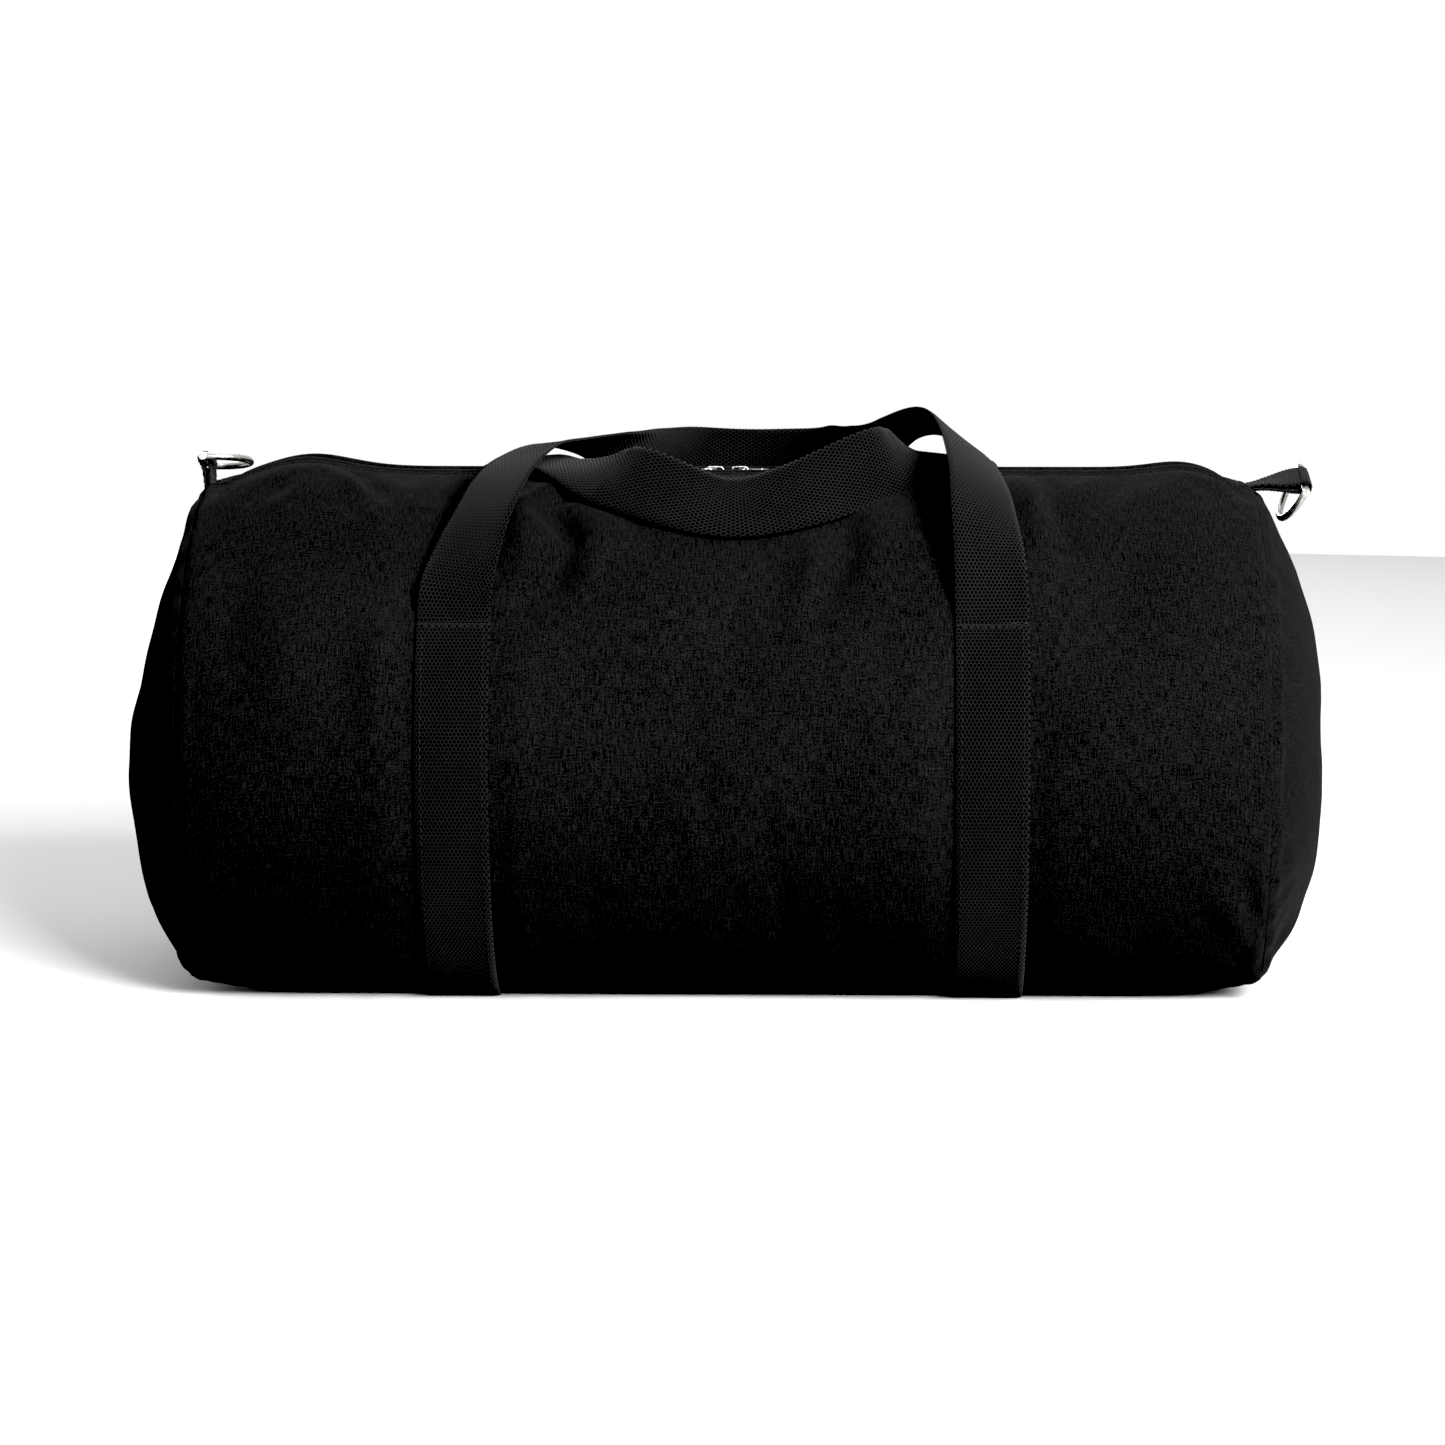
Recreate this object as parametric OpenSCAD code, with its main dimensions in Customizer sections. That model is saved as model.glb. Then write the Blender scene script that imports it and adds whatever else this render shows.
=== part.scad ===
// Soft duffel bag: a rolled main panel, two domed round ends, a two-way zip along the top,
// two webbing handles that cross over it, and a D-ring on a tab at each end.
// The bag lies along X, its front faces -Y, and Z is up from the surface it rests on.

/* [Body] */
// Distance from the middle of the bag to each end seam
seam_x = 222; // [210:1:235]
// How far each end panel bulges past its seam
dome_depth = 32; // [20:1:40]
// Half of the greatest width, front to back
half_w = 121; // [118:1:124]
// Height of the widest line above the floor
mid_z = 106; // [104:1:108]
// Height of the top above the widest line
top_h = 110.6; // [109:0.2:112]
// Thickness of the padded canvas
wall = 1.6; // [1.2:0.1:2]

/* [Webbing] */
// Width of the handle and body webbing
web_w = 30; // [25:1:32]
// Thickness of the body webbing
strap_t = 1.25; // [1:0.05:1.3]
// Thickness of the handle webbing
handle_t = 1.2; // [1:0.1:1.2]

/* [Zip] */
// Half of the gap in the top of the main panel
slot_half = 8.2; // [7.6:0.2:9]
// Distance from the middle of the bag to each end of the teeth
coil_end = 198; // [190:1:199]
// Height of the middle of the teeth
zip_z = 212.6; // [212.2:0.2:213]
// Length of each slider
slider_l = 10; // [9:0.5:11]
// Length of each pull beyond its pivot
pull_l = 12.5; // [10:0.5:14]

/* [Rings] */
// Diameter of the wire of each D-ring
wire_d = 3.4; // [3:0.2:3.6]
// Width inside each D-ring
ring_in = 25; // [24:0.5:28]
// Length of the straight legs of each D-ring
ring_leg = 4; // [3:0.5:5]
// Width of the webbing tab that holds each D-ring
tab_w = 21; // [18:1:22]

/* [Hidden] */

canvas = [0.075, 0.075, 0.08];
webbing = [0.1, 0.1, 0.105];
nickel = [0.75, 0.75, 0.73];

gap = 0.35;                    // air between soft pieces that lie on each other
upper_power = 1.9;             // roundness of the section above its widest line
lower_power = 2.3;             // roundness of the section below it
low_h = 112;                   // depth of the lower curve before the floor flattens it
panel_floor = strap_t + gap;   // the straps run under the panel
taper_x = 170;                 // from here to the seam the section draws in
side_draw = 22;
top_draw = 20;
floor_draw = 6;
around = 64;                   // points round a section
dome_rings = 9;
web_steps = 5;                 // rings for each span between two handle stations
coil_r = 1.1;
coil_y = 1.9;
plate_t = 0.8;
pivot_z = zip_z + 3.4;
pull_t = 1;
pull_arm = 1.2;
slider_gap = 0.2;
ring_r = ring_in / 2 + wire_d / 2;
bend_r = wire_d / 2 - 0.1;     // the bent wire is drawn down slightly thinner than the bar
bore_r = wire_d / 2 + 0.06;
eye_r = bore_r + 1.3;
left_pivot = [-221.5, 0, 219.5];
right_pivot = [243.5, 0, 212];
right_ring_tilt = 240;         // direction of the right ring from its bar, turning from +X to +Z
left_roll = -12;               // each ring's bar leans this far from level, seen along X
right_roll = 16;
strap_x = 108.6;               // the handle stations below start and end on the straps
stitch_z = 162;
strap_end_z = stitch_z - 2.4;

// Handle stations: the middle of the webbing, then the direction of its inner edge
FRONT_RUN = [
    [[-108.6, -104.8, 162], [1, 0, 0]],
    [[-107.8, -102.2, 175], [0.99, -0.14, 0]],
    [[-104, -97.5, 189], [0.91, -0.4, 0.05]],
    [[-97.4, -87, 206], [0.82, -0.56, 0.1]],
    [[-90, -67, 219.3], [0.82, -0.51, 0.18]],
    [[-82, -42, 226], [0.84, -0.44, 0.2]],
    [[-70, -18, 229.4], [0.6, -0.74, 0.16]],
    [[-53, 10, 227.8], [0.3, -0.88, 0.33]],
    [[-31, 40, 221.6], [0.05, -0.66, 0.75]],
    [[0, 58, 216.4], [0, -0.34, 0.94]],
    [[26, 55, 217], [0, -0.34, 0.94]],
    [[47, 43, 220.8], [-0.12, -0.62, 0.77]],
    [[64, 27, 228.8], [-0.4, -0.8, 0.4]],
    [[77, 12, 234.2], [-0.6, -0.76, 0.2]],
    [[91, -15, 235.8], [-0.68, -0.52, 0.5]],
    [[100, -40, 230], [-0.74, -0.35, 0.57]],
    [[104.5, -67, 218.5], [-0.84, -0.42, 0.38]],
    [[106.5, -87, 204.5], [-0.9, -0.4, 0.15]],
    [[108.2, -98.7, 186], [-0.97, -0.22, 0]],
    [[108.6, -104.8, 162], [-1, 0, 0]]];
REAR_RUN = [
    [[-108.6, 104.8, 162], [1, 0, 0]],
    [[-107.9, 97, 182], [0.97, 0.2, -0.05]],
    [[-104, 80, 198.5], [0.92, 0.38, -0.1]],
    [[-96, 54, 213.2], [0.78, 0.62, -0.1]],
    [[-85, 16, 220.6], [0.55, 0.83, 0]],
    [[-71, -17, 220.8], [0.3, 0.94, 0.05]],
    [[-59, -36, 219.8], [0.15, 0.94, 0.28]],
    [[-48, -50, 217.8], [0.05, 0.76, 0.65]],
    [[-34, -60, 215.2], [0, 0.42, 0.91]],
    [[0, -67.5, 206], [0, 0.64, 0.77]],
    [[32, -63, 211.2], [0, 0.5, 0.86]],
    [[60, -47.5, 221.8], [-0.05, 0.25, 0.97]],
    [[73, -34, 223.6], [-0.18, 0.6, 0.78]],
    [[84.5, -14, 223.2], [-0.35, 0.88, 0.22]],
    [[95, 14, 222.2], [-0.6, 0.78, 0.02]],
    [[102, 44, 217.6], [-0.78, 0.6, -0.02]],
    [[106, 74.5, 202.3], [-0.93, 0.35, -0.1]],
    [[108.2, 96.5, 181.5], [-0.98, 0.15, -0.05]],
    [[108.6, 104.8, 162], [-1, 0, 0]]];

function unit(v) = v / norm(v);
function spow(v, power) = sign(v) * pow(abs(v), 2 / power);

// 0 along the middle of the bag, rising to 0.4 at the end seams
function drawn(x) =
    let (t = 0.8 * max(0, (abs(x) - taper_x) / (seam_x - taper_x)))
    1 - sqrt(1 - t * t);

// Point at angle a on the bag's section at x, moved outwards by out; a = 90 is the top
function skin_point(x, a, out) =
    let (
        e = drawn(x),
        upper = sin(a) >= 0,
        power = upper ? upper_power : lower_power,
        reach = upper ? top_h - top_draw * e : low_h,
        y = (half_w - side_draw * e + out) * spow(cos(a), power),
        z = mid_z + (reach + out) * spow(sin(a), power)
    )
    [x, y, max(z, panel_floor + floor_draw * e - out)];

// Angle at which the section reaches height z above its widest line, on the +Y side
function angle_at(z) = asin(pow((z - mid_z) / top_h, upper_power / 2));

// Closed profile of a band that covers the section from angle a0 to a1, out0 to out1 deep
function band_profile(x, a0, a1, out0, out1, n) = concat(
    [for (i = [0:n]) skin_point(x, a0 + (a1 - a0) * i / n, out1)],
    [for (i = [n:-1:0]) skin_point(x, a0 + (a1 - a0) * i / n, out0)]);

// Solid through closed rings of equal length. A strip's caps are sewn across its two sides,
// and any other cap is one flat face.
module loft(rings, strip = false) {
    n = len(rings[0]);
    m = len(rings);
    first = [for (i = [0:n - 1]) i];
    last = [for (i = [n - 1:-1:0]) (m - 1) * n + i];
    half = n / 2 - 1;
    strip_caps = [for (i = [0:half - 1]) each [
        [i, i + 1, n - 2 - i, n - 1 - i],
        [for (k = [n - 1 - i, n - 2 - i, i + 1, i]) (m - 1) * n + k]]];
    sides = [for (r = [0:m - 2]) for (i = [0:n - 1])
        let (j = (i + 1) % n)
        each [[r * n + i, (r + 1) * n + i, r * n + j], [r * n + j, (r + 1) * n + i, (r + 1) * n + j]]];
    polyhedron([for (ring = rings) each ring], concat(strip ? strip_caps : [first, last], sides));
}

// Catmull-Rom curve through the stations, for their middles (k = 0) or their edges (k = 1)
function station(run, i) =
    i < 0 ? 2 * run[0] - run[1] :
    i > len(run) - 1 ? 2 * run[len(run) - 1] - run[len(run) - 2] : run[i];
function curve(run, s) =
    let (
        i = min(floor(s), len(run) - 2),
        t = s - i,
        p0 = station(run, i - 1),
        p1 = station(run, i),
        p2 = station(run, i + 1),
        p3 = station(run, i + 2)
    )
    0.5 * (2 * p1 + (p2 - p0) * t + (2 * p0 - 5 * p1 + 4 * p2 - p3) * t * t
        + (3 * p1 - p0 - 3 * p2 + p3) * t * t * t);
function web_ring(middles, edges, s) =
    let (
        step = 0.02,
        end = len(middles) - 1,
        along = unit(curve(middles, min(s + step, end)) - curve(middles, max(s - step, 0))),
        raw = curve(edges, s),
        across = unit(raw - (raw * along) * along) * web_w / 2,
        thick = unit(cross(across, along)) * handle_t / 2,
        c = curve(middles, s)
    )
    [c - across - thick, c + across - thick, c + across + thick, c - across + thick];

module web_loop(run) {
    middles = [for (s = run) s[0]];
    edges = [for (s = run) s[1]];
    spans = len(run) - 1;
    loft([for (k = [0:spans * web_steps]) web_ring(middles, edges, k / web_steps)]);
}

// Body strip of constant section between x0 and x1
module band(x0, x1, a0, a1, out0, out1, n) {
    profile = [for (p = band_profile((x0 + x1) / 2, a0, a1, out0, out1, n)) [p[1], p[2]]];
    translate([x0, 0, 0])
        along_x(x1 - x0)
            polygon(profile);
}

// Turns a drawing in Y and Z into a solid that runs along +X
module along_x(length) {
    rotate([90, 0, 90])
        linear_extrude(length)
            children();
}

module main_panel() {
    slot_a = acos(pow(slot_half / half_w, upper_power / 2));
    stations = [-222, -214, -205, -194, -182, -170, 0, 170, 182, 194, 205, 214, 222] * seam_x / 222;
    color(canvas)
        loft([for (x = stations) band_profile(x, 180 - slot_a, 360 + slot_a, -wall, 0, around)], strip = true);
}

// Ring of the end panel: share s of the seam's outline, pushed out into a dome
function dome_ring(s, side, inset) = [for (i = [0:around - 1])
    let (
        a = 360 * i / around,
        p = skin_point(seam_x, a, 0),
        fullness = sin(a) > 0 ? 2.2 - 0.6 * sin(a) : 2.2 - 2.3 * sin(a),
        centre_z = mid_z - 4,
        r = max(0.02, s - inset / 100)
    )
    [side * (seam_x + 0.05 + (dome_depth - inset) * (1 - pow(s, fullness))),
        p[1] * r, centre_z + (p[2] - centre_z) * r]];

module end_panel(side) {
    inner = [for (k = [1:dome_rings]) dome_ring(k / dome_rings, side, wall)];
    outer = [for (k = [dome_rings:-1:0]) dome_ring(max(k, 0.2) / dome_rings, side, 0)];
    rings = concat(inner, outer);
    color(canvas)
        loft(side < 0 ? [for (i = [len(rings) - 1:-1:0]) rings[i]] : rings);
}

module seam_binding(side) {
    tape_w = 7;
    tape_t = 2;
    x = seam_x - 0.4;
    color(webbing)
        translate([side > 0 ? x - tape_t : -x, 0, 0])
            along_x(tape_t)
                difference() {
                    polygon([for (i = [0:around - 1])
                        let (p = skin_point(x, 360 * i / around, -wall - 0.3)) [p[1], p[2]]]);
                    polygon([for (i = [0:around - 1])
                        let (p = skin_point(x, 360 * i / around, -wall - 0.3 - tape_w)) [p[1], p[2]]]);
                }
}

module zip_tape(side) {
    tape_t = 0.6;
    inner_y = coil_y + 0.2;
    edge_drop = 1.5;
    color(canvas)
        translate([-coil_end - 4, 0, 0])
            along_x(2 * coil_end + 8)
                polygon([
                    [side * inner_y, zip_z - coil_r - tape_t - 0.05],
                    [side * slot_half, zip_z - coil_r - tape_t - 0.2],
                    [side * 2 * slot_half, zip_z - coil_r - tape_t - edge_drop],
                    [side * 2 * slot_half, zip_z - coil_r - edge_drop],
                    [side * slot_half, zip_z - coil_r - 0.2],
                    [side * inner_y, zip_z - coil_r - 0.05]]);
}

module zip_coil(side) {
    color("black")
        translate([-coil_end, side * coil_y, zip_z])
            rotate([0, 90, 0])
                cylinder(r = coil_r, h = 2 * coil_end, $fn = 16);
}

module zip_stop(side) {
    stop_l = 2.5;
    color(nickel)
        translate([side > 0 ? coil_end + 0.1 : -coil_end - 0.1 - stop_l, -3.4, zip_z - coil_r])
            cube([stop_l, 6.8, 2 * coil_r]);
}

module zip_end_tab(side) {
    cover = 7;
    start_x = 203;
    end_x = 216;
    stations = [for (k = [0:3]) start_x + (end_x - start_x) * k / 3];
    rings = [for (x = stations) band_profile(side * x, 90 - cover, 90 + cover, 0.1, 1, 6)];
    color(webbing)
        loft(side < 0 ? [for (i = [len(rings) - 1:-1:0]) rings[i]] : rings, strip = true);
}

// The slider's channel is open at both ends, and its post runs between the two rows of teeth
module slider(side) {
    width = 9.6;
    wing = 0.7;
    channel = coil_r + 0.35;
    bridge_w = 2.4;
    bridge_in = 3.1;
    leg = 0.9;
    bridge_top = 1.55;
    tape_air = 0.75;
    color(nickel)
        translate([side * (slider_gap + slider_l / 2), 0, zip_z]) {
            translate([-slider_l / 2, -width / 2, channel])
                cube([slider_l, width, plate_t]);
            translate([-slider_l / 2, -width / 2, -channel - plate_t - 0.7])
                cube([slider_l, width, plate_t]);
            translate([-side * slider_l / 2 - (side > 0 ? 0 : 2.4), -0.5, -channel - 1])
                cube([2.4, 1, 2 * channel + 1.2]);
            for (y = [-1, 1])
                translate([-slider_l / 2, y * (width - wing) / 2 - wing / 2, -coil_r + tape_air])
                    cube([slider_l, wing, channel + coil_r - tape_air + 0.1]);
            for (x = [-1, 1])
                translate([x * (bridge_in + leg / 2) - leg / 2, -bridge_w / 2, channel + plate_t - 0.1])
                    cube([leg, bridge_w, pivot_z - zip_z - channel - plate_t + bridge_top]);
            translate([-bridge_in - leg, -bridge_w / 2, pivot_z - zip_z + bridge_top - 0.8])
                cube([2 * (bridge_in + leg), bridge_w, 0.8]);
        }
}

// Flat pull that lies away from the other slider; its cross bar turns under the bridge
module pull(side) {
    bar_r = 0.65;
    eye_l = 5.6;
    half_wide = 3;
    color(nickel)
        translate([side * (slider_gap + slider_l / 2), 0, pivot_z])
            mirror([side < 0 ? 1 : 0, 0, 0]) {
                translate([0, half_wide, 0])
                    rotate([90, 0, 0])
                        cylinder(r = bar_r, h = 2 * half_wide, $fn = 24);
                for (y = [-1, 1])
                    translate([0, y * (half_wide - pull_arm / 2) - pull_arm / 2, -pull_t / 2])
                        cube([eye_l, pull_arm, pull_t]);
                translate([eye_l - 0.4, -half_wide, -pull_t / 2])
                    cube([pull_l - half_wide - eye_l + 0.4, 2 * half_wide, pull_t]);
                translate([pull_l - half_wide, 0, -pull_t / 2])
                    cylinder(r = half_wide, h = pull_t, $fn = 32);
            }
}

module handle(run) {
    color(webbing)
        web_loop(run);
}

module body_strap(side) {
    a = angle_at(strap_end_z);
    color(webbing)
        band(side * strap_x - web_w / 2, side * strap_x + web_w / 2, 180 - a, 360 + a,
            gap, gap + strap_t, around);
}

module bartack(side, face) {
    a = angle_at(strap_end_z - 0.6);
    b = angle_at(strap_end_z - 3.2);
    top = gap + strap_t + 0.05;
    x = side * strap_x;
    color("dimgray")
        band(x - web_w / 2 + 1, x + web_w / 2 - 1, face > 0 ? b : 180 - a, face > 0 ? a : 180 - b,
            top, top + 0.5, 2);
}

// Turns what it is given about a line along X through the pivot
module rolled(pivot, roll) {
    translate(pivot)
        rotate([roll, 0, 0])
            translate(-pivot)
                children();
}

// Two layers of webbing from the seam to an eye that the ring's bar turns in
module ring_tab(root, pivot, roll) {
    reach = pivot - root;
    length = norm(reach);
    lean = atan2(reach[2], reach[0]);
    color(webbing)
        rolled(pivot, roll)
            difference() {
                translate(root)
                    rotate([0, -lean, 0])
                        union() {
                            translate([0, -tab_w / 2, -1.3])
                                cube([length, tab_w, 2.6]);
                            translate([length, tab_w / 2, 0])
                                rotate([90, 0, 0])
                                    cylinder(r = eye_r, h = tab_w, $fn = 48);
                        }
                translate(pivot + [0, tab_w, 0])
                    rotate([90, 0, 0])
                        cylinder(r = bore_r, h = 2 * tab_w, $fn = 48);
            }
}

module d_ring(pivot, tilt, roll) {
    bar_half = ring_r + bend_r + 0.3;
    color(nickel)
        translate(pivot)
            rotate([roll, 0, 0])
                rotate([0, -tilt, 0])
                    union() {
                        translate([0, bar_half, 0])
                            rotate([90, 0, 0])
                                cylinder(d = wire_d, h = 2 * bar_half, $fn = 32);
                        for (y = [-1, 1])
                            translate([0, y * ring_r, 0])
                                rotate([0, 90, 0])
                                    cylinder(r = bend_r, h = ring_leg, $fn = 32);
                        translate([ring_leg, 0, 0])
                            rotate([0, 0, -90])
                                rotate_extrude(angle = 180, $fn = 96)
                                    translate([ring_r, 0])
                                        circle(r = bend_r, $fn = 32);
                    }
}

main_panel();
end_panel(-1);  // left_end_panel
end_panel(1);  // right_end_panel
seam_binding(-1);  // left_seam_binding
seam_binding(1);  // right_seam_binding
zip_tape(-1);  // zip_tape_front
zip_tape(1);  // zip_tape_rear
zip_coil(-1);  // zip_coil_front
zip_coil(1);  // zip_coil_rear
zip_stop(-1);  // left_zip_stop
zip_stop(1);  // right_zip_stop
zip_end_tab(-1);  // left_zip_end_tab
zip_end_tab(1);  // right_zip_end_tab
slider(-1);  // left_slider
slider(1);  // right_slider
pull(-1);  // left_pull
pull(1);  // right_pull
handle(FRONT_RUN);  // front_handle
handle(REAR_RUN);  // rear_handle
body_strap(-1);  // left_body_strap
body_strap(1);  // right_body_strap
bartack(-1, -1);  // front_left_bartack
bartack(1, -1);  // front_right_bartack
bartack(-1, 1);  // rear_left_bartack
bartack(1, 1);  // rear_right_bartack
ring_tab([-220.5, 0, 211.6], left_pivot, left_roll);  // left_ring_tab
ring_tab([223.2, 0, 212], right_pivot, right_roll);  // right_ring_tab
d_ring(left_pivot, 0, left_roll);  // left_d_ring
d_ring(right_pivot, right_ring_tilt, right_roll);  // right_d_ring
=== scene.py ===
import math

import bmesh
import bpy
import numpy as np
from mathutils import Matrix, Vector


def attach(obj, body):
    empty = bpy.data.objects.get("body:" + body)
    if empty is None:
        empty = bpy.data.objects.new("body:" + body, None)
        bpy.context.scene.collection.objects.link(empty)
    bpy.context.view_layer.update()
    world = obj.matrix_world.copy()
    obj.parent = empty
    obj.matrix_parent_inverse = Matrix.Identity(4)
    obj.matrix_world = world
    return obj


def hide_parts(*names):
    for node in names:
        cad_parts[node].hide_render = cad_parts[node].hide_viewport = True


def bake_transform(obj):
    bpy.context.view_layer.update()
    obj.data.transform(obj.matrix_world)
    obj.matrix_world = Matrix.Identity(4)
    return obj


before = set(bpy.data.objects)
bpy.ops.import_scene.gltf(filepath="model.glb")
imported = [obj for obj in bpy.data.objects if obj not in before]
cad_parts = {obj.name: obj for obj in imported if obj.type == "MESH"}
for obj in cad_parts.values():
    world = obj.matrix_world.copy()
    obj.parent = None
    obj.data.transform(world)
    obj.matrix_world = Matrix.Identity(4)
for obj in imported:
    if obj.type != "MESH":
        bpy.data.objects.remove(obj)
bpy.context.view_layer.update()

MM = 0.001
SEED = 11

# ---------------------------------------------------------------- camera, floor and light
AIM = np.array([-2.3, 0.0, 108.0])
DISTANCE = 1900.0
ELEVATION = math.radians(7.0)
AZIMUTH = math.radians(1.3)
VIEW_WIDTH = 617.8
FLOOR_R = 2.2
SENSOR = 36.0
BLACK_LEVEL = 0.0192
BEHIND = np.array([
    math.sin(AZIMUTH) * math.cos(ELEVATION),
    -math.cos(AZIMUTH) * math.cos(ELEVATION),
    math.sin(ELEVATION),
])


def add_object(name, data):
    obj = bpy.data.objects.new(name, data)
    bpy.context.scene.collection.objects.link(obj)
    return obj


def aim_at(obj, place, target):
    """Puts obj at place and turns its -Z axis towards target, both in millimetres."""
    place, target = Vector(place) * MM, Vector(target) * MM
    obj.location = place
    obj.rotation_euler = (target - place).to_track_quat("-Z", "Y").to_euler()


def add_camera():
    data = bpy.data.cameras.new("camera")
    data.sensor_width = SENSOR
    data.lens = SENSOR * DISTANCE / VIEW_WIDTH
    data.clip_end = 50.0
    camera = add_object("camera", data)
    aim_at(camera, AIM + BEHIND * DISTANCE, AIM)
    bpy.context.scene.camera = camera


def add_light(name, place, size, power):
    """A soft box that faces the bag."""
    data = bpy.data.lights.new(name, "AREA")
    data.shape = "RECTANGLE"
    data.size, data.size_y = size
    data.energy = power
    aim_at(add_object(name, data), place, (0, 0, 90))


def add_spot(name, place, target, degrees, power):
    """A narrow lamp, so that the light stays on the webbing it is meant for."""
    data = bpy.data.lights.new(name, "SPOT")
    data.energy = power
    data.spot_size = math.radians(degrees)
    data.spot_blend = 0.4
    data.shadow_soft_size = 0.25
    aim_at(add_object(name, data), place, target)


def add_stage():
    """A plain pale floor, an even white sky, three soft boxes and narrow spots on the handles."""
    mesh = bpy.data.meshes.new("floor")
    turns = np.linspace(0, 2 * math.pi, 97)[:-1]
    rim = [(FLOOR_R * math.cos(t), FLOOR_R * math.sin(t), 0) for t in turns]
    mesh.from_pydata(rim, [], [tuple(range(len(rim)))])
    floor = add_object("floor", mesh)
    look = bpy.data.materials.new("floor")
    look.use_nodes = True
    shader = look.node_tree.nodes["Principled BSDF"]
    shader.inputs["Base Color"].default_value = (0.34, 0.34, 0.34, 1)
    shader.inputs["Roughness"].default_value = 0.9
    shader.inputs["Specular IOR Level"].default_value = 0.1
    mesh.materials.append(look)

    world = bpy.data.worlds.new("studio")
    world.use_nodes = True
    tree = world.node_tree
    background = tree.nodes["Background"]
    background.inputs["Color"].default_value = (1, 1, 1, 1)
    background.inputs["Strength"].default_value = 1.0
    bpy.context.scene.world = world

    add_light("key", (1000, -2000, 1050), (0.9, 0.9), 420)
    add_light("back", (-900, 2100, 800), (1.2, 1.2), 45)
    add_spot("handles", (40, -1500, 600), (6, 0, 286), 8.6, 270)
    add_spot("left_crossing", (-260, -1000, 760), (-40, 40, 250), 4.6, 140)
    add_spot("right_crossing", (-160, -1000, 760), (58, 40, 250), 4.6, 150)
    add_spot("peak", (0, -1500, 215), (90, 0, 262), 1.9, 900)
    add_light("top", (0, 0, 2200), (2.6, 2.6), 30)

    view = bpy.context.scene.view_settings
    view.view_transform = "Standard"
    view.look = "None"
    view.use_curve_mapping = True
    view.curve_mapping.black_level = (BLACK_LEVEL, BLACK_LEVEL, BLACK_LEVEL)
    view.curve_mapping.update()


# ---------------------------------------------------------------- the bag's shape
SEAM_X = 222.0
HALF_W = 121.0
MID_Z = 106.0
TOP_H = 110.6
LOW_H = 112.0
UPPER_POWER = 1.9
LOWER_POWER = 2.3
PANEL_FLOOR = 1.6
TAPER_X = 170.0
SIDE_DRAW = 22.0
TOP_DRAW = 20.0
FLOOR_DRAW = 19.0
SAG = 2.4
SLOT_HALF = 8.2
WALL = 1.6
STRAP_X = 108.6
WEB_W = 30.0
STRAP_GAP = 0.35
STRAP_T = 1.25
HANDLE_T = 1.2
BUTT_Z = 160.2
ZIP_Z = 212.6
COIL_END = 198.0
RIB = 1.5
CLOTH_MASS = 0.01
CLOTH_SLACK = 0.006
CLOTH_PRESSURE = 4.0
CLOTH_FRAMES = 20
CLOTH_CAP = 1.1
FOLD_GAIN = 1.7
STITCH_IN = 6.4
PANEL_GIRTH = 718.2
END_R = 110.0
SLOT_ANGLE = math.acos((SLOT_HALF / HALF_W) ** (UPPER_POWER / 2))


def smooth(v, low, high):
    """0 below low, 1 above high, and a smooth step between them."""
    t = np.clip((v - low) / (high - low), 0, 1)
    return t * t * (3 - 2 * t)


def drawn(x):
    """How far the section at x is drawn in towards the end seams, from 0 to 0.4 at a seam."""
    t = 0.8 * np.maximum(0, (np.abs(x) - TAPER_X) / (SEAM_X - TAPER_X))
    return 1 - np.sqrt(1 - t * t)


def section(x, a, out=0.0):
    """Points at angles a on the bag's section at x, moved outwards by out; a = 90 degrees is the top."""
    e = drawn(x)
    c, s = np.cos(a), np.sin(a)
    upper = s >= 0
    power = np.where(upper, UPPER_POWER, LOWER_POWER)
    reach = np.where(upper, TOP_H - TOP_DRAW * e, LOW_H)
    y = (HALF_W - SIDE_DRAW * e + out) * np.sign(c) * np.abs(c) ** (2 / power)
    z = MID_Z + (reach + out) * np.sign(s) * np.abs(s) ** (2 / power)
    z = z - SAG * (1 - smooth(z, 6, 46))
    z = np.maximum(z, PANEL_FLOOR + FLOOR_DRAW * e - out)
    return np.stack([np.broadcast_to(x, y.shape), y, z], -1)


def along(points, lengths):
    """Points at the given distances along a polyline."""
    steps = np.linalg.norm(np.diff(points, axis=0), axis=1)
    at = np.concatenate([[0], np.cumsum(steps)])
    return np.stack([np.interp(lengths, at, points[:, k]) for k in range(3)], -1), at[-1]


def angle_at(z):
    """Angle of the section's upper half at height z."""
    return math.asin(((z - MID_Z) / TOP_H) ** (UPPER_POWER / 2))


# ---------------------------------------------------------------- meshes
def make(name, points, faces, uv=None, body="bag", look=None, replaces=()):
    """A mesh piece from points in millimetres; uv is one pair of metres for each point."""
    mesh = bpy.data.meshes.new(name)
    mesh.from_pydata((np.asarray(points) * MM).tolist(), [], [list(f) for f in faces])
    mesh.validate()
    if uv is not None:
        layer = mesh.uv_layers.new(name="weave")
        index = np.empty(len(mesh.loops), int)
        mesh.loops.foreach_get("vertex_index", index)
        layer.data.foreach_set("uv", np.asarray(uv, float)[index].ravel())
    mesh.polygons.foreach_set("use_smooth", [True] * len(mesh.polygons))
    obj = add_object(name, mesh)
    mesh.materials.append(look)
    tidy_normals(obj)
    if body is not None:
        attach(obj, body)
    if replaces:
        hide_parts(*replaces)
    return obj


def tidy_normals(obj):
    """Turns every face of a closed piece outwards."""
    shape = bmesh.new()
    shape.from_mesh(obj.data)
    bmesh.ops.recalc_face_normals(shape, faces=shape.faces)
    shape.to_mesh(obj.data)
    shape.free()


def grid_faces(rows, cols, wrap=False):
    last = cols if wrap else cols - 1
    return [
        (r * cols + c, r * cols + (c + 1) % cols, (r + 1) * cols + (c + 1) % cols, (r + 1) * cols + c)
        for r in range(rows - 1) for c in range(last)
    ]


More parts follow.
